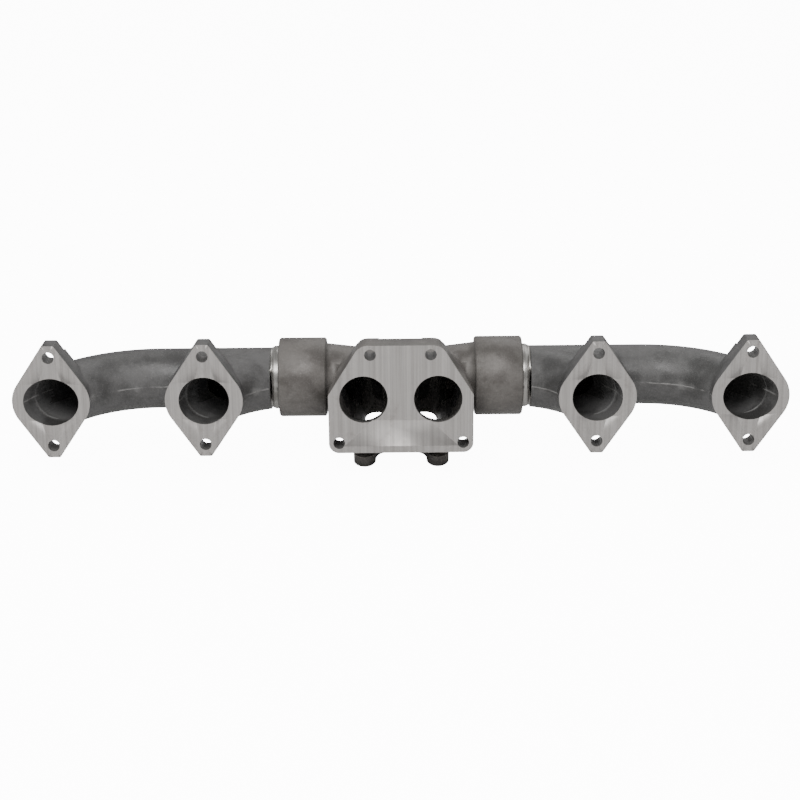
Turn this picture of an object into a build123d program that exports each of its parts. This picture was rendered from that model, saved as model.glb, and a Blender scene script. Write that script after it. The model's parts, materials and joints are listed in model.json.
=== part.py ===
from build123d import *
import math
import os

# Three-piece cast-iron exhaust manifold of an inline six, in millimetres.
# The origin is in the middle of the cylinder-head face, on the line of the ports.
# +X runs along the engine, +Y points away from the head, +Z is up.

# Ports, on the head face
outer_port_x = 343.2
inner_port_x = 193.2
centre_port_x = 36.7
port_height = 47.2
outer_port_width = 54.3
inner_port_width = 49.4
centre_port_d = 47.6
port_throat_depth = 20.0

# Collecting log behind the head face
log_y = 77.0
bore_d = 48.0
pipe_wall = 6.4
outer_runner_lead = 15.0  # degrees from +Y at the head face
inner_runner_lead = 12.5

# End flanges
end_flange_thick = 26.0
end_ear_thick = 22.0  # under the bolt heads, spot-faced from behind
end_spot_face_d = 25.0
end_spot_face_run = 14.0  # how far each spot-face runs out past its bolt
end_bolt_spacing = 90.3
end_side_r = 31.4
end_side_offset = 6.8
end_tip_r = 2.5
end_tip_offset = 4.6
end_tip_height = 57.3
bolt_hole_d = 11.5
flange_fillet_r = 4.5
branch_fillet_r = 8.0

# Centre flange
centre_flange_thick = 25.0
centre_half_width = 71.5
centre_top = 54.9
centre_bottom = -55.6
centre_shoulder = 4.2
centre_flank_angle = 31.8  # degrees from vertical
centre_upper_bolt = (29.6, 45.4)
centre_lower_bolt = (61.3, -45.3)
centre_bottom_r = 10.0
centre_top_r = 15.0
boss_r = 12.5
boss_thick = 27.5

# Slip joint between the centre casting and each end casting
collar_inner_x = 75.0
collar_outer_x = 123.0
collar_d = 80.5
collar_round = 1.5
socket_d = 65.0
socket_floor_x = 81.0
socket_lead = 2.0
spigot_gap = 0.3  # radial, spigot to socket
slip_in = 8.0  # from the collar's mouth to the shoulder
spigot_end_gap = 9.0
ring_width = 3.0
ring_depth = 3.2
ring_pitch = 8.0
ring_first_x = 112.0
ring_bore_gap = 0.05
ring_side_gap = 0.1
ring_floor_gap = 0.6
ring_split = 1.2

# Turbocharger flange, under and behind the centre casting
turbo_angle = 18.0
turbo_front_y = 45.0
turbo_front_z = -79.4
turbo_bolt_across = 74.0
turbo_bolt_along = 100.0
turbo_hole_d = 13.0
turbo_thick = 12.5
turbo_lug_r = 11.4
turbo_saddle = 12.0
turbo_saddle_r = 11.0
outlet_width = 33.0
outlet_length = 62.0
outlet_corner_r = 11.0
divider = 8.0
duct_wall = 6.5


# Gas passages of the centre casting, from the ports down to the turbo flange
centre_port_land = 8.5
land_overlap = 3.0
port_step = 1.2  # a cast passage is this much wider than the bore it meets, all round
throat_flat = 1.0
bend_width = 42.0
bend_length = 84.0
bend_corner_r = 20.0
bend_x = 31.0
bend_y = 64.0
bend_z = -14.0
bend_angle = 50.0  # how far the flow has turned down from +Y
inboard_pipe_d = 69.0
inboard_pipe_x = 40.0  # the pipes run in to here from their collars

pipe_d = bore_d + 2 * pipe_wall
ring_od = socket_d - 2 * ring_bore_gap
groove_depth = ring_depth + ring_floor_gap
spigot_cone = 4.0
spigot_lead = 2.0
log_axis = Axis((0, log_y, 0), (1, 0, 0))
spigot_d = socket_d - 2 * spigot_gap
spigot_end_x = socket_floor_x + spigot_end_gap
shoulder_x = collar_outer_x + slip_in

os.makedirs("parts", exist_ok=True)


def runner_route(port_x, lead, end_x):
    """Centreline of a runner: through the port, round one arc, along the log to end_x."""
    slope = math.radians(lead)
    bend_r = log_y / (1 - math.sin(slope))
    lead_in = 20.0
    heading = (-math.sin(slope), math.cos(slope))
    with BuildLine() as route:
        Line((port_x - lead_in * heading[0], -lead_in * heading[1]), (port_x, 0))
        arc = JernArc((port_x, 0), heading, bend_r, 90 - lead)
        if arc.position_at(1).X > end_x + 1:
            Line(arc @ 1, (end_x, log_y))
    return route.line


def tube_along(route, diameter, mode=Mode.ADD):
    """A round bar or bore of one diameter along a route."""
    with BuildSketch(Plane(origin=route @ 0, z_dir=route % 0)) as section:
        Circle(diameter / 2)
    sweep(section.sketch, path=route, mode=mode)


def end_flange_face(port_x):
    """Outline of an end flange: two rounded sides and two blunt tips."""
    with BuildSketch(Plane.XZ) as face:
        with Locations((port_x - end_side_offset, 0), (port_x + end_side_offset, 0)):
            Circle(end_side_r)
        tip_z = end_tip_height - end_tip_r
        for side in (-1, 1):
            with Locations(
                (port_x + side * end_tip_offset, tip_z),
                (port_x + side * end_tip_offset, -tip_z),
            ):
                Circle(end_tip_r)
        make_hull()
    return face.sketch


def port_mouth(port_x, width, lead):
    """Oval mouth of an end port, blending into the round bore behind it."""
    shift = port_throat_depth * math.tan(math.radians(lead))
    with BuildSketch(Plane.XZ.offset(0.01)) as mouth:
        with Locations((port_x, 0)):
            Ellipse(width / 2, port_height / 2)
    with BuildSketch(Plane.XZ.offset(-port_throat_depth)) as throat:
        with Locations((port_x - shift, 0)):
            Ellipse(bore_d / 2 / math.cos(math.radians(lead)), bore_d / 2 - 0.2)
    loft([mouth.sketch, throat.sketch], mode=Mode.SUBTRACT)


def ring_centres():
    """X of each sealing ring, from the collar's mouth inwards."""
    return [ring_first_x - i * ring_pitch for i in range(3)]


print("end manifolds")
outer_route = runner_route(outer_port_x, outer_runner_lead, spigot_end_x)
inner_route = runner_route(inner_port_x, inner_runner_lead, spigot_end_x)

with BuildPart() as right_end_manifold:
    # cast pipe and branch, cut off at the head face and at the spigot's shoulder
    tube_along(outer_route, pipe_d)
    tube_along(inner_route, pipe_d)
    split(bisect_by=Plane.XZ, keep=Keep.BOTTOM)
    split(bisect_by=Plane.YZ.offset(shoulder_x), keep=Keep.TOP)
    for port_x in (outer_port_x, inner_port_x):
        extrude(end_flange_face(port_x), amount=-end_flange_thick)

    # cast fillets where the pipes meet the flanges and each other
    joins = edges().filter_by(GeomType.BSPLINE).filter_by_position(Axis.X, shoulder_x + 1, outer_port_x)
    fillet(joins.filter_by_position(Axis.Y, 0, end_flange_thick), radius=flange_fillet_r)
    joins = edges().filter_by(GeomType.BSPLINE).filter_by_position(Axis.X, shoulder_x + 1, outer_port_x)
    fillet(joins.filter_by(lambda edge: edge.length > pipe_d), radius=branch_fillet_r)

    # turned spigot with its ring grooves
    with BuildSketch(Plane.XY) as spigot_profile:
        with BuildLine():
            Polyline(
                (shoulder_x, log_y),
                (shoulder_x, log_y + pipe_d / 2),
                (shoulder_x - spigot_cone, log_y + spigot_d / 2),
                (spigot_end_x + spigot_lead, log_y + spigot_d / 2),
                (spigot_end_x, log_y + spigot_d / 2 - spigot_lead),
                (spigot_end_x, log_y),
                close=True,
            )
        make_face()
        groove_width = ring_width + 2 * ring_side_gap
        for x in ring_centres():
            with Locations((x, log_y + spigot_d / 2 - groove_depth / 2)):
                Rectangle(groove_width, groove_depth, mode=Mode.SUBTRACT)
    revolve(spigot_profile.sketch, axis=log_axis)

    # gas passages, port mouths and bolt holes
    tube_along(outer_route, bore_d, mode=Mode.SUBTRACT)
    tube_along(inner_route, bore_d, mode=Mode.SUBTRACT)
    port_mouth(outer_port_x, outer_port_width, outer_runner_lead)
    port_mouth(inner_port_x, inner_port_width, inner_runner_lead)
    with BuildSketch(Plane.XZ) as end_bolts:
        for port_x in (outer_port_x, inner_port_x):
            with Locations((port_x, 0)):
                with GridLocations(0, end_bolt_spacing, 1, 2):
                    Circle(bolt_hole_d / 2)
    extrude(end_bolts.sketch, amount=-end_flange_thick, mode=Mode.SUBTRACT)
    with BuildSketch(Plane.XZ.offset(-end_ear_thick)) as spot_faces:
        for port_x in (outer_port_x, inner_port_x):
            with Locations((port_x, 0)):
                with GridLocations(0, end_bolt_spacing + end_spot_face_run, 1, 2):
                    SlotCenterToCenter(end_spot_face_run, end_spot_face_d, rotation=90)
    extrude(spot_faces.sketch, amount=end_ear_thick - end_flange_thick, mode=Mode.SUBTRACT)

right_end_manifold.part.label = "right_end_manifold"
export_step(right_end_manifold.part, "parts/right_end_manifold.step")

with BuildPart() as left_end_manifold:
    mirror(right_end_manifold.part, about=Plane.YZ)

left_end_manifold.part.label = "left_end_manifold"
export_step(left_end_manifold.part, "parts/left_end_manifold.step")


print("sealing rings")
for side, side_name in ((-1, "left"), (1, "right")):
    for ring_x, place in zip(ring_centres(), ("outer", "middle", "inner")):
        ring_plane = Plane(origin=(side * ring_x, log_y, 0), x_dir=(0, 1, 0), z_dir=(1, 0, 0))
        with BuildPart() as seal_ring:
            with BuildSketch(ring_plane) as ring_face:
                Circle(ring_od / 2)
                Circle(ring_od / 2 - ring_depth, mode=Mode.SUBTRACT)
                with Locations((0, ring_od / 2)):
                    Rectangle(ring_split, 4 * ring_depth, mode=Mode.SUBTRACT)
            extrude(ring_face.sketch, amount=ring_width / 2, both=True)
        seal_ring.part.label = side_name + "_" + place + "_seal_ring"
        export_step(seal_ring.part, "parts/" + seal_ring.part.label + ".step")


print("centre manifold")
turbo_slope = math.radians(turbo_angle)
turbo_plane = Plane(
    origin=(0, turbo_front_y, turbo_front_z),
    x_dir=(1, 0, 0),
    z_dir=(0, -math.sin(turbo_slope), math.cos(turbo_slope)),
)
outlet_x = divider / 2 + outlet_width / 2
turbo_centre = Vector(*turbo_plane.from_local_coords((0, turbo_bolt_along / 2, 0)))


def duct_section(across, along, corner, centre, flow):
    """One rounded section of a duct, square to the flow."""
    with BuildSketch(Plane(origin=centre, x_dir=(1, 0, 0), z_dir=flow)) as section:
        RectangleRounded(across, along, corner)
    return section.sketch


def turbo_duct(side, wall, mode):
    """Duct of one side from its port down to its half of the turbo flange."""
    throat = centre_port_d + 2 * (port_step + wall)
    turn = math.radians(bend_angle)
    port_centre = (side * centre_port_x, centre_port_land, 0)
    bend_centre = (side * bend_x, bend_y, bend_z)
    bend_flow = (0, math.cos(turn), -math.sin(turn))
    outlet_centre = turbo_centre + Vector(side * outlet_x, 0, 0)
    width = bend_width + 2 * wall
    length = bend_length + 2 * wall
    out_width = outlet_width + 2 * wall
    out_length = outlet_length + 2 * wall
    sections = [
        duct_section(throat, throat, throat / 2 - throat_flat, port_centre, (0, 1, 0)),
        duct_section(width, length, bend_corner_r + wall, bend_centre, bend_flow),
        duct_section(out_width, out_length, outlet_corner_r + wall, outlet_centre, -turbo_plane.z_dir),
    ]
    loft(sections, mode=mode)


flank_drop = math.tan(math.radians(centre_flank_angle))
centre_top_x = centre_half_width - (centre_top - centre_shoulder) * flank_drop

with BuildPart() as center_manifold:
    # head flange, with thicker bosses round the upper bolts
    with BuildSketch(Plane.XZ) as head_face:
        with BuildLine():
            Polyline(
                (-centre_half_width, centre_bottom),
                (-centre_half_width, centre_shoulder),
                (-centre_top_x, centre_top),
                (centre_top_x, centre_top),
                (centre_half_width, centre_shoulder),
                (centre_half_width, centre_bottom),
                close=True,
            )
        make_face()
        fillet(head_face.vertices().group_by(Axis.Y)[0], radius=centre_bottom_r)
        fillet(head_face.vertices().group_by(Axis.Y)[-1], radius=centre_top_r)
    extrude(head_face.sketch, amount=-centre_flange_thick)
    for side in (-1, 1):
        with BuildSketch(Plane.XZ) as boss:
            add(head_face.sketch)
            with Locations((side * centre_upper_bolt[0], centre_upper_bolt[1])):
                Circle(boss_r, mode=Mode.INTERSECT)
        extrude(boss.sketch, amount=-boss_thick)

    # collars of the slip joints and the pipes between them and the ducts
    with BuildSketch(Plane.XY) as collar_profile:
        with BuildLine():
            Polyline(
                (collar_outer_x, log_y),
                (collar_outer_x, log_y + collar_d / 2 - collar_round),
                (collar_outer_x - collar_round, log_y + collar_d / 2),
                (collar_inner_x + collar_round, log_y + collar_d / 2),
                (collar_inner_x, log_y + collar_d / 2 - collar_round),
                (collar_inner_x, log_y + inboard_pipe_d / 2),
                (inboard_pipe_x, log_y + pipe_d / 2),
                (inboard_pipe_x, log_y),
                close=True,
            )
        make_face()
    revolve(collar_profile.sketch, axis=log_axis)
    mirror(about=Plane.YZ)

    # ducts to the turbo flange
    for side in (-1, 1):
        turbo_duct(side, duct_wall, Mode.ADD)

    # turbo flange
    with BuildSketch(turbo_plane) as turbo_face:
        with Locations((0, turbo_bolt_along / 2)):
            Rectangle(turbo_bolt_across, turbo_bolt_along - 2 * turbo_saddle)
        for side in (-1, 1):
            with Locations((side * turbo_bolt_across / 2, turbo_bolt_along / 2)):
                SlotCenterToCenter(turbo_bolt_along, 2 * turbo_lug_r, rotation=90)
        inner_edge = turbo_bolt_across / 2 - turbo_lug_r
        saddles = turbo_face.vertices().filter_by_position(Axis.X, -inner_edge - 1, inner_edge + 1)
        fillet(saddles.filter_by_position(Axis.Y, 1, turbo_bolt_along - 1), radius=turbo_saddle_r)
    extrude(turbo_face.sketch, amount=turbo_thick)

    # gas passages
    for side in (-1, 1):
        turbo_duct(side, 0, Mode.SUBTRACT)
        with BuildSketch(Plane.XZ) as port_face:
            with Locations((side * centre_port_x, 0)):
                Circle(centre_port_d / 2)
        extrude(port_face.sketch, amount=-centre_port_land - land_overlap, mode=Mode.SUBTRACT)
        with BuildSketch(Plane.XY) as socket_profile:
            with BuildLine():
                Polyline(
                    (side * centre_port_x, log_y),
                    (side * centre_port_x, log_y + bore_d / 2),
                    (side * socket_floor_x, log_y + bore_d / 2),
                    (side * socket_floor_x, log_y + socket_d / 2),
                    (side * (collar_outer_x - socket_lead), log_y + socket_d / 2),
                    (side * collar_outer_x, log_y + socket_d / 2 + socket_lead),
                    (side * collar_outer_x, log_y),
                    close=True,
                )
            make_face()
        revolve(socket_profile.sketch, axis=log_axis, mode=Mode.SUBTRACT)

    # bolt holes of both flanges
    with BuildSketch(Plane.XZ) as head_bolts:
        for x, z in (centre_upper_bolt, centre_lower_bolt):
            with Locations((-x, z), (x, z)):
                Circle(bolt_hole_d / 2)
    extrude(head_bolts.sketch, amount=-boss_thick, mode=Mode.SUBTRACT)
    with BuildSketch(turbo_plane) as turbo_bolts:
        with Locations((0, turbo_bolt_along / 2)):
            with GridLocations(turbo_bolt_across, turbo_bolt_along, 2, 2):
                Circle(turbo_hole_d / 2)
    extrude(turbo_bolts.sketch, amount=turbo_thick, mode=Mode.SUBTRACT)

center_manifold.part.label = "center_manifold"
export_step(center_manifold.part, "parts/center_manifold.step")
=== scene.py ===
import json
import math
import bmesh
import bpy
from mathutils import Matrix, Vector
from mathutils.bvhtree import BVHTree


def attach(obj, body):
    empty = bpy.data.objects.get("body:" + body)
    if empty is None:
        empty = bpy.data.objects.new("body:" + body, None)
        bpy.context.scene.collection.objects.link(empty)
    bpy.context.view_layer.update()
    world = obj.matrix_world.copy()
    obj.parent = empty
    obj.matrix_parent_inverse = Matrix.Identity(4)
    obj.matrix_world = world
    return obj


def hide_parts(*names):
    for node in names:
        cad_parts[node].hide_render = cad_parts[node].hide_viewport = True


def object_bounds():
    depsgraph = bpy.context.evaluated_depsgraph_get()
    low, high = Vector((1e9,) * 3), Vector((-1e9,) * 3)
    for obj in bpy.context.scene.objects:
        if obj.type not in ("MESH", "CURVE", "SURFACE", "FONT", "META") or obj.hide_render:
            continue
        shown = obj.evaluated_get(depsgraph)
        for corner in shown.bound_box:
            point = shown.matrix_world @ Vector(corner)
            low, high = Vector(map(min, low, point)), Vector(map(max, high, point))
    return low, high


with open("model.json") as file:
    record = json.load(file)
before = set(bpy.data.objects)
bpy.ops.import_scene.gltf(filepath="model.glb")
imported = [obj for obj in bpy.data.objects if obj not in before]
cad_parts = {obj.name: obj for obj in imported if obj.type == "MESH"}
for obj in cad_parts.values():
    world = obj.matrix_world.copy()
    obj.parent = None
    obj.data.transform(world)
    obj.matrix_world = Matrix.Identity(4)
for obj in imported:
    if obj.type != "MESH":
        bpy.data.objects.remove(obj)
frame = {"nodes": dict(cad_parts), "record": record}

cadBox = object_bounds()
mm = 0.001
mounts = {mount["name"]: mount for mount in frame["record"]["mounts"]}
joints = {joint["name"]: joint for joint in frame["record"]["behaviour"]["joints"]}
logY = joints["right_swivel"]["pos_m"][1]
portX = mounts["port_6_bolts"]["pos_m"][0], mounts["port_5_bolts"]["pos_m"][0]
boltZ = mounts["port_6_bolts"]["dims"]["spacing_y_mm"] / 2 * mm
boltR = mounts["port_6_bolts"]["dims"]["hole_r_mm"] * mm
turboPoint = Vector(mounts["turbo_face"]["pos_m"])
turboNormal = Vector(mounts["turbo_face"]["axis"])
print("frame loaded:", len(frame["nodes"]), "nodes")


# camera first, so the view is settled before anything is made
camera = {
    "elevation": math.radians(18.15),
    "roll": math.radians(0.511),
    "distance": 1.743,
    "aside": -0.00081,
    "above": -0.00063,
    "lens": 80.01,
    "sensor": 36.0,
}


def placeCamera():
    forward = Vector((0, math.cos(camera["elevation"]), -math.sin(camera["elevation"])))
    upward = Vector((0, math.sin(camera["elevation"]), math.cos(camera["elevation"])))
    rightward = Vector((1, 0, 0))
    place = rightward * camera["aside"] + upward * camera["above"] - forward * camera["distance"]
    cosRoll, sinRoll = math.cos(camera["roll"]), math.sin(camera["roll"])
    side = rightward * cosRoll - upward * sinRoll
    top = rightward * sinRoll + upward * cosRoll
    lens = bpy.data.cameras.new("camera")
    lens.sensor_width = camera["sensor"]
    lens.lens = camera["lens"]
    eye = bpy.data.objects.new("camera", lens)
    bpy.context.scene.collection.objects.link(eye)
    turned = Matrix((side, top, -forward)).transposed().to_4x4()
    turned.translation = place
    eye.matrix_world = turned
    bpy.context.scene.camera = eye


placeCamera()
print("camera placed")


# shader helpers
def addNode(tree, kind, sockets=None, **settings):
    made = tree.nodes.new(kind)
    for setting, value in settings.items():
        setattr(made, setting, value)
    for socket, value in (sockets or {}).items():
        if isinstance(value, bpy.types.NodeSocket):
            tree.links.new(value, made.inputs[socket])
        else:
            made.inputs[socket].default_value = value
    return made


def calc(tree, operation, first, second=0.0, third=0.0):
    made = addNode(tree, "ShaderNodeMath", {0: first, 1: second}, operation=operation)
    if isinstance(third, bpy.types.NodeSocket):
        tree.links.new(third, made.inputs[2])
    else:
        made.inputs[2].default_value = third
    return made.outputs[0]


def ramp(tree, value, low, high, start=0.0, end=1.0):
    sockets = {"Value": value, "From Min": low, "From Max": high, "To Min": start, "To Max": end}
    made = addNode(tree, "ShaderNodeMapRange", sockets, interpolation_type="SMOOTHSTEP")
    return made.outputs["Result"]


def blend(tree, mask, under, over):
    made = addNode(tree, "ShaderNodeMix", data_type="RGBA")
    for place, value in ((0, mask), (6, under), (7, over)):
        if isinstance(value, bpy.types.NodeSocket):
            tree.links.new(value, made.inputs[place])
        else:
            made.inputs[place].default_value = value
    return made.outputs[2]


def noiseAt(tree, coords, scale, detail=3.0, rough=0.6):
    sockets = {"Vector": coords, "Scale": scale, "Detail": detail, "Roughness": rough}
    return addNode(tree, "ShaderNodeTexNoise", sockets).outputs[0]


def newGroup(name, inputs, outputs):
    tree = bpy.data.node_groups.new(name, "ShaderNodeTree")
    for socket, value in inputs.items():
        made = tree.interface.new_socket(name=socket, in_out="INPUT", socket_type="NodeSocketFloat")
        made.default_value = value
    for socket in outputs:
        tree.interface.new_socket(name=socket, in_out="OUTPUT", socket_type="NodeSocketFloat")
    given = tree.nodes.new("NodeGroupInput")
    result = tree.nodes.new("NodeGroupOutput")
    return tree, given.outputs, result.inputs


def useGroup(tree, group, **values):
    made = addNode(tree, "ShaderNodeGroup", node_tree=group)
    for socket, value in values.items():
        made.inputs[socket].default_value = value
    return made.outputs


def makeCastGrain():
    # sand-cast skin: grains, shallow pits and slow changes of tone
    inputs = {"Grain": 1250.0, "Lumps": 330.0, "Pits": 620.0, "Patches": 26.0}
    tree, given, result = newGroup("castGrain", inputs, ("Height", "Tone", "Specks", "Sheen"))
    coords = addNode(tree, "ShaderNodeTexCoord").outputs["Object"]
    grain = noiseAt(tree, coords, given["Grain"], 2.0)
    lumps = noiseAt(tree, coords, given["Lumps"], 3.0)
    patches = noiseAt(tree, coords, given["Patches"], 4.0, 0.62)
    pitting = addNode(tree, "ShaderNodeTexVoronoi", {"Vector": coords, "Scale": given["Pits"]})
    cells = pitting.outputs["Distance"]
    pits = ramp(tree, cells, 0.05, 0.3, 1.0, 0.0)
    sparse = ramp(tree, lumps, 0.5, 0.62)
    height = calc(tree, "MULTIPLY_ADD", grain, 0.55, calc(tree, "MULTIPLY", lumps, 0.9))
    sunk = calc(tree, "MULTIPLY", calc(tree, "MULTIPLY", pits, sparse), 0.35)
    height = calc(tree, "SUBTRACT", height, sunk)
    tree.links.new(height, result["Height"])
    tree.links.new(patches, result["Tone"])
    tree.links.new(ramp(tree, grain, 0.56, 0.72), result["Specks"])
    sheen = noiseAt(tree, coords, given["Patches"], 2.0, 0.5)
    tree.links.new(ramp(tree, sheen, 0.35, 0.65), result["Sheen"])
    return tree


def makeToolMarks():
    # fine parallel marks left by a cutter; the three inputs stretch them along X, Y and Z
    inputs = {"AcrossX": 1500.0, "AcrossY": 1500.0, "AcrossZ": 16.0}
    tree, given, result = newGroup("toolMarks", inputs, ("Height", "Tone", "Stain"))
    coords = addNode(tree, "ShaderNodeTexCoord").outputs["Object"]
    stretch = addNode(
        tree, "ShaderNodeCombineXYZ", {"X": given["AcrossX"], "Y": given["AcrossY"], "Z": given["AcrossZ"]}
    ).outputs[0]
    drawn = addNode(tree, "ShaderNodeVectorMath", {0: coords, 1: stretch}, operation="MULTIPLY").outputs[0]
    marks = noiseAt(tree, drawn, 1.0, 3.0, 0.7)
    bands = noiseAt(tree, drawn, 0.16, 2.0, 0.6)
    tree.links.new(marks, result["Height"])
    tree.links.new(bands, result["Tone"])
    tree.links.new(noiseAt(tree, coords, 38.0, 4.0, 0.6), result["Stain"])
    return tree


castGrain = makeCastGrain()
toolMarks = makeToolMarks()


def newMaterial(name):
    material = bpy.data.materials.new(name)
    material.use_nodes = True
    tree = material.node_tree
    tree.nodes.clear()
    shader = addNode(tree, "ShaderNodeBsdfPrincipled")
    output = addNode(tree, "ShaderNodeOutputMaterial")
    tree.links.new(shader.outputs[0], output.inputs["Surface"])
    return material, tree, shader.inputs


def addBump(tree, shader, height, strength, distance):
    bump = addNode(tree, "ShaderNodeBump", {"Height": height, "Strength": strength, "Distance": distance})
    tree.links.new(bump.outputs[0], shader["Normal"])


def splitObject(tree):
    coords = addNode(tree, "ShaderNodeTexCoord").outputs["Object"]
    parts = addNode(tree, "ShaderNodeSeparateXYZ", {0: coords}).outputs
    return coords, parts


castFinish = {
    "ends": {"dark": (0.052, 0.051, 0.050, 1), "light": (0.105, 0.103, 0.102, 1)},
    "centre": {"dark": (0.080, 0.073, 0.067, 1), "light": (0.150, 0.140, 0.131, 1)},
    "fleck": (0.24, 0.235, 0.23, 1),
    "dressed": (0.26, 0.255, 0.25, 1),
    "metal": 0.35,
    "roughness": (0.42, 0.66),
    "bump": 0.22 * mm,
    "bumpStrength": 0.9,
}
partingLine = {
    "stray": 0.8 * mm,                   # how far the line wanders either way
    "strayScale": 60.0,
    "fade": (0.3 * mm, 1.0 * mm),        # full to none, measured from the line
    "breakScale": 45.0,
    "lineBlend": 0.75,
    "patchFade": (1.5 * mm, 6.0 * mm),
    "patchScale": 24.0,
    "patchBlend": 0.4,
}


def makeCastSkin(name, tones, seam):
    material, tree, shader = newMaterial(name)
    grain = useGroup(tree, castGrain)
    coords, place = splitObject(tree)
    tone = ramp(tree, grain["Tone"], 0.36, 0.64)
    colour = blend(tree, tone, tones["dark"], tones["light"])
    fleck = calc(tree, "MULTIPLY", grain["Specks"], 0.35)
    colour = blend(tree, fleck, colour, castFinish["fleck"])
    height = grain["Height"]
    if seam:
        # dressed parting line: a thin bright line with ground patches along it
        stray = partingLine["stray"]
        strayNoise = noiseAt(tree, coords, partingLine["strayScale"], 2.0)
        wander = calc(tree, "MULTIPLY_ADD", strayNoise, 2 * stray, -stray)
        offLine = calc(tree, "ABSOLUTE", calc(tree, "SUBTRACT", place["Z"], wander))
        broken = ramp(tree, noiseAt(tree, coords, partingLine["breakScale"], 3.0), 0.40, 0.56)
        line = calc(tree, "MULTIPLY", ramp(tree, offLine, *partingLine["fade"], 1.0, 0.0), broken)
        offPlane = calc(tree, "ABSOLUTE", place["Z"])
        patch = ramp(tree, offPlane, *partingLine["patchFade"], 1.0, 0.0)
        patchNoise = noiseAt(tree, coords, partingLine["patchScale"], 2.0)
        patch = calc(tree, "MULTIPLY", patch, ramp(tree, patchNoise, 0.56, 0.64))
        onLine = calc(tree, "MULTIPLY", line, partingLine["lineBlend"])
        onPatch = calc(tree, "MULTIPLY", patch, partingLine["patchBlend"])
        dressed = calc(tree, "MAXIMUM", onLine, onPatch)
        colour = blend(tree, dressed, colour, castFinish["dressed"])
        height = calc(tree, "MULTIPLY_ADD", line, 0.8, height)
    tree.links.new(colour, shader["Base Color"])
    shader["Metallic"].default_value = castFinish["metal"]
    low, high = castFinish["roughness"]
    tree.links.new(ramp(tree, grain["Sheen"], 0.0, 1.0, low, high), shader["Roughness"])
    addBump(tree, shader, height, castFinish["bumpStrength"], castFinish["bump"])
    return material


milledFinish = {
    "dark": (0.250, 0.236, 0.226, 1),
    "light": (0.360, 0.342, 0.328, 1),
    "stain": (0.150, 0.128, 0.112, 1),
    "scratch": (0.42, 0.41, 0.40, 1),
    "metal": 0.55,
    "roughness": (0.36, 0.56),
    "bump": 0.05 * mm,
}
markStrength = 0.8     # bump strength of every cutter mark


def makeMilledFace():
    material, tree, shader = newMaterial("milledFace")
    marks = useGroup(tree, toolMarks, AcrossX=1300.0, AcrossY=200.0, AcrossZ=14.0)
    colour = blend(tree, ramp(tree, marks["Tone"], 0.3, 0.7), milledFinish["dark"], milledFinish["light"])
    fine = ramp(tree, marks["Height"], 0.35, 0.7, 0.0, 0.35)
    colour = blend(tree, fine, colour, milledFinish["scratch"])
    stain = ramp(tree, marks["Stain"], 0.60, 0.78, 0.0, 0.55)
    colour = blend(tree, stain, colour, milledFinish["stain"])
    tree.links.new(colour, shader["Base Color"])
    shader["Metallic"].default_value = milledFinish["metal"]
    low, high = milledFinish["roughness"]
    tree.links.new(ramp(tree, marks["Stain"], 0.3, 0.75, low, high), shader["Roughness"])
    addBump(tree, shader, marks["Height"], markStrength, milledFinish["bump"])
    return material


turnedStain = (0.11, 0.10, 0.09, 1)
turnedFinish = {
    "dark": (0.22, 0.21, 0.20, 1),
    "light": (0.42, 0.41, 0.39, 1),
    "metal": 0.85,
    "roughness": (0.24, 0.42),
    "bump": 0.04 * mm,
}


def makeTurned(name, tones):
    material, tree, shader = newMaterial(name)
    marks = useGroup(tree, toolMarks, AcrossX=2600.0, AcrossY=10.0, AcrossZ=10.0)
    colour = blend(tree, ramp(tree, marks["Height"], 0.3, 0.7), tones["dark"], tones["light"])
    stain = ramp(tree, marks["Stain"], 0.52, 0.72, 0.0, 0.6)
    colour = blend(tree, stain, colour, turnedStain)
    tree.links.new(colour, shader["Base Color"])
    shader["Metallic"].default_value = tones["metal"]
    low, high = tones["roughness"]
    tree.links.new(ramp(tree, marks["Stain"], 0.3, 0.75, low, high), shader["Roughness"])
    addBump(tree, shader, marks["Height"], markStrength, tones["bump"])
    return material


drilledFinish = {
    "dark": (0.10, 0.098, 0.095, 1),
    "light": (0.20, 0.195, 0.19, 1),
    "metal": 0.6,
    "roughness": (0.4, 0.6),
    "bump": 0.06 * mm,
}
ringFinish = {
    "dark": (0.30, 0.29, 0.28, 1),
    "light": (0.50, 0.49, 0.47, 1),
    "metal": 0.95,
    "roughness": (0.2, 0.34),
    "bump": 0.02 * mm,
}
# near-black for walled-in passage faces: partly real soot, partly painted shade in the hollows
sootAndShadeFinish = {
    "dark": (0.016, 0.016, 0.017, 1),
    "light": (0.040, 0.038, 0.036, 1),
    "roughness": 0.82,
}


def makeSootAndPaintedShade():
    material, tree, shader = newMaterial("passageSootAndShade")
    grain = useGroup(tree, castGrain)
    tone = ramp(tree, grain["Tone"], 0.36, 0.64)
    tree.links.new(blend(tree, tone, sootAndShadeFinish["dark"], sootAndShadeFinish["light"]), shader["Base Color"])
    shader["Roughness"].default_value = sootAndShadeFinish["roughness"]
    addBump(tree, shader, grain["Height"], castFinish["bumpStrength"], castFinish["bump"])
    return material


endSkin = makeCastSkin("endCastSkin", castFinish["ends"], True)
centreSkin = makeCastSkin("centreCastSkin", castFinish["centre"], False)
milledFace = makeMilledFace()
turnedBand = makeTurned("turnedBand", turnedFinish)
drilledHole = makeTurned("drilledHole", drilledFinish)
ringSteel = makeTurned("ringSteel", ringFinish)
passageSootAndShade = makeSootAndPaintedShade()
print("materials made")


# mesh helpers
def newPiece(name, shape):
    mesh = bpy.data.meshes.new(name)
    shape.to_mesh(mesh)
    shape.free()
    piece = bpy.data.objects.new(name, mesh)
    bpy.context.scene.collection.objects.link(piece)
    return piece


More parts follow.
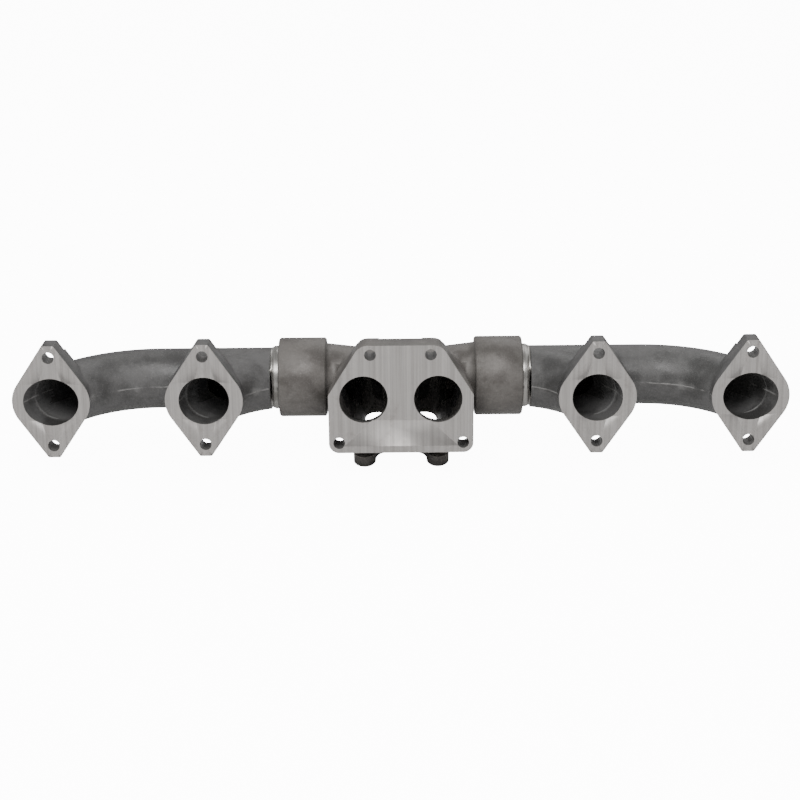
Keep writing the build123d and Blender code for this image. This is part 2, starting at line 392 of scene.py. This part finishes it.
sorting = {
    "weld": 0.002 * mm,
    "flat": 0.02 * mm,         # how near a machined plane a face lies
    "round": 0.2 * mm,         # how near a drilled or bored wall a face lies
    "facing": 0.9,
    "lift": 0.2 * mm,          # feelers start this far off the wall
    "reach": 110 * mm,         # and go this far
    "leans": (0.8, 1.6),       # their slopes away from the normal
    "sharp": math.radians(32),
}


def nodeShape(node):
    # welded copy of a machined piece
    shape = bmesh.new()
    shape.from_mesh(frame["nodes"][node].data)
    bmesh.ops.remove_doubles(shape, verts=shape.verts, dist=sorting["weld"])
    return shape


cast, milled, lathed, drilled, sootAndShade = range(5)     # slots of a casting's materials


def enclosed(walls, centre, normal):
    # true where metal stands on every side of a face within a passage's width
    aside = normal.orthogonal().normalized()
    across = normal.cross(aside)
    looks = [normal]
    for lean in sorting["leans"]:
        looks += [normal + turn * lean for turn in (aside, -aside, across, -across)]
    start = centre + normal * sorting["lift"]
    return all(walls.ray_cast(start, look.normalized(), sorting["reach"])[0] for look in looks)


def onHeadFace(centre, normal):
    return centre.y < sorting["flat"] and normal.y < -sorting["facing"]


def inBoltHole(centre, x, z, depth):
    return centre.y < depth and math.hypot(centre.x - x, centre.z - z) < boltR + sorting["round"]


def finishFaces(piece, skin, choose):
    # each face gets the finish of the way it was made; cast faces hemmed in by metal get near-black,
    # partly real soot and partly painted shade
    mesh = piece.data
    walls = BVHTree.FromPolygons([v.co for v in mesh.vertices], [list(f.vertices) for f in mesh.polygons])
    mesh.materials.clear()
    for material in (skin, milledFace, turnedBand, drilledHole, passageSootAndShade):
        mesh.materials.append(material)
    for face in mesh.polygons:
        chosen = choose(face.center, face.normal)
        # cast faces with metal on every side, crevices included, are painted dark: soot plus painted shade
        if chosen == cast and enclosed(walls, face.center, face.normal):
            chosen = sootAndShade
        face.material_index = chosen
    mesh.shade_smooth()
    mesh.set_sharp_from_angle(angle=sorting["sharp"])


def fitCasting(piece, body, node):
    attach(piece, body)
    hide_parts(node)
    print(piece.name, len(piece.data.polygons), "faces")


endPart = {
    "earThick": 22 * mm,
    "holeDepth": 23 * mm,
    "shoulderX": 131 * mm,
    "passageR": 24.6 * mm,
}


def makeEnd(side, sideName):
    node = sideName + "_end_manifold"
    ear = endPart["earThick"]
    bolts = [(side * x, z) for x in portX for z in (-boltZ, boltZ)]
    piece = newPiece(sideName + "EndCasting", nodeShape(node))

    def choose(centre, normal):
        if onHeadFace(centre, normal):
            return milled
        if abs(centre.y - ear) < sorting["flat"] and normal.y > sorting["facing"]:
            return milled     # spot-faces under the bolt heads
        offAxis = math.hypot(centre.y - logY, centre.z)
        if side * centre.x < endPart["shoulderX"] and offAxis > endPart["passageR"]:
            return lathed
        if any(inBoltHole(centre, x, z, endPart["holeDepth"]) for x, z in bolts):
            return drilled
        return cast

    finishFaces(piece, endSkin, choose)
    fitCasting(piece, sideName + "_end", node)


centrePart = {
    "upperBolt": (29.6 * mm, 45.4 * mm, 28.5 * mm),     # X, Z and depth of the hole
    "lowerBolt": (61.3 * mm, -45.3 * mm, 26 * mm),
    "portX": 36.7 * mm,
    "portR": 23.8 * mm,
    "portDepth": 11.6 * mm,
    "socketR": 34.7 * mm,
    "socketFloor": 80.9 * mm,
}


def makeCentre():
    node = "center_manifold"
    holes = (centrePart["upperBolt"], centrePart["lowerBolt"])
    bolts = [(side * x, z, depth) for x, z, depth in holes for side in (-1, 1)]
    piece = newPiece("centreCasting", nodeShape(node))

    def choose(centre, normal):
        if onHeadFace(centre, normal):
            return milled
        offTurbo = (centre - turboPoint).dot(turboNormal)
        if abs(offTurbo) < sorting["flat"] and normal.dot(turboNormal) > sorting["facing"]:
            return milled
        if any(inBoltHole(centre, x, z, depth) for x, z, depth in bolts):
            return drilled
        offPort = math.hypot(abs(centre.x) - centrePart["portX"], centre.z)
        if centre.y < centrePart["portDepth"] and offPort < centrePart["portR"] + sorting["round"]:
            return drilled
        offAxis = math.hypot(centre.y - logY, centre.z)
        if abs(centre.x) > centrePart["socketFloor"] and offAxis < centrePart["socketR"]:
            return lathed
        return cast

    finishFaces(piece, centreSkin, choose)
    fitCasting(piece, "center", node)


for side, sideName in ((-1, "left"), (1, "right")):
    makeEnd(side, sideName)
makeCentre()

for name, ring in frame["nodes"].items():
    if name.endswith("seal_ring"):
        ring.data.materials.clear()
        ring.data.materials.append(ringSteel)
print("castings made")


studio = {
    "floorGap": 0.5 * mm,
    "floorSize": 60.0,
    "floorGlow": 12.0,
    "sky": 0.55,
    "floorColour": (0.82, 0.82, 0.82, 1),
    "floorRoughness": 0.9,
    "white": (1, 1, 1, 1),
    "keyLight": {"place": (-0.3, -1.5, 1.75), "size": (2.2, 0.9), "power": 62.0},
    "fillLight": {"place": (0.6, 1.4, 1.6), "size": (2.0, 1.2), "power": 14.0},
    "aim": (0, 0.05, 0),
}


def makeStudio():
    low = cadBox[0][2] - studio["floorGap"]
    half = studio["floorSize"] / 2
    shape = bmesh.new()
    corners = ((-half, -half), (half, -half), (half, half), (-half, half))
    shape.faces.new([shape.verts.new((x, y, low)) for x, y in corners])
    floor = newPiece("floor", shape)
    material, tree, shader = newMaterial("paleFloor")
    shader["Base Color"].default_value = studio["floorColour"]
    shader["Roughness"].default_value = studio["floorRoughness"]
    # the floor glows only where it is seen directly, so it doesn't light the castings from below
    glow = addNode(tree, "ShaderNodeEmission", {"Color": studio["white"], "Strength": studio["floorGlow"]})
    seen = addNode(tree, "ShaderNodeLightPath").outputs["Is Camera Ray"]
    plain = next(n for n in tree.nodes if n.type == "BSDF_PRINCIPLED")
    output = next(n for n in tree.nodes if n.type == "OUTPUT_MATERIAL")
    both = addNode(tree, "ShaderNodeAddShader")
    dark = addNode(tree, "ShaderNodeEmission", {"Strength": 0.0})
    chosen = addNode(tree, "ShaderNodeMixShader", {0: seen})
    tree.links.new(dark.outputs[0], chosen.inputs[1])
    tree.links.new(glow.outputs[0], chosen.inputs[2])
    tree.links.new(plain.outputs[0], both.inputs[0])
    tree.links.new(chosen.outputs[0], both.inputs[1])
    tree.links.new(both.outputs[0], output.inputs["Surface"])
    floor.data.materials.append(material)
    world = bpy.data.worlds.new("studio")
    bpy.context.scene.world = world
    world.use_nodes = True
    sky = world.node_tree.nodes["Background"].inputs
    sky["Color"].default_value = studio["white"]
    sky["Strength"].default_value = studio["sky"]


def areaLight(name):
    wanted = studio[name]
    lamp = bpy.data.lights.new(name, "AREA")
    lamp.shape = "RECTANGLE"
    lamp.size, lamp.size_y = wanted["size"]
    lamp.energy = wanted["power"]
    light = bpy.data.objects.new(name, lamp)
    light.location = wanted["place"]
    aim = Vector(studio["aim"]) - light.location
    light.rotation_euler = aim.to_track_quat("-Z", "Y").to_euler()
    bpy.context.scene.collection.objects.link(light)


makeStudio()
areaLight("keyLight")
areaLight("fillLight")
print("studio lit")
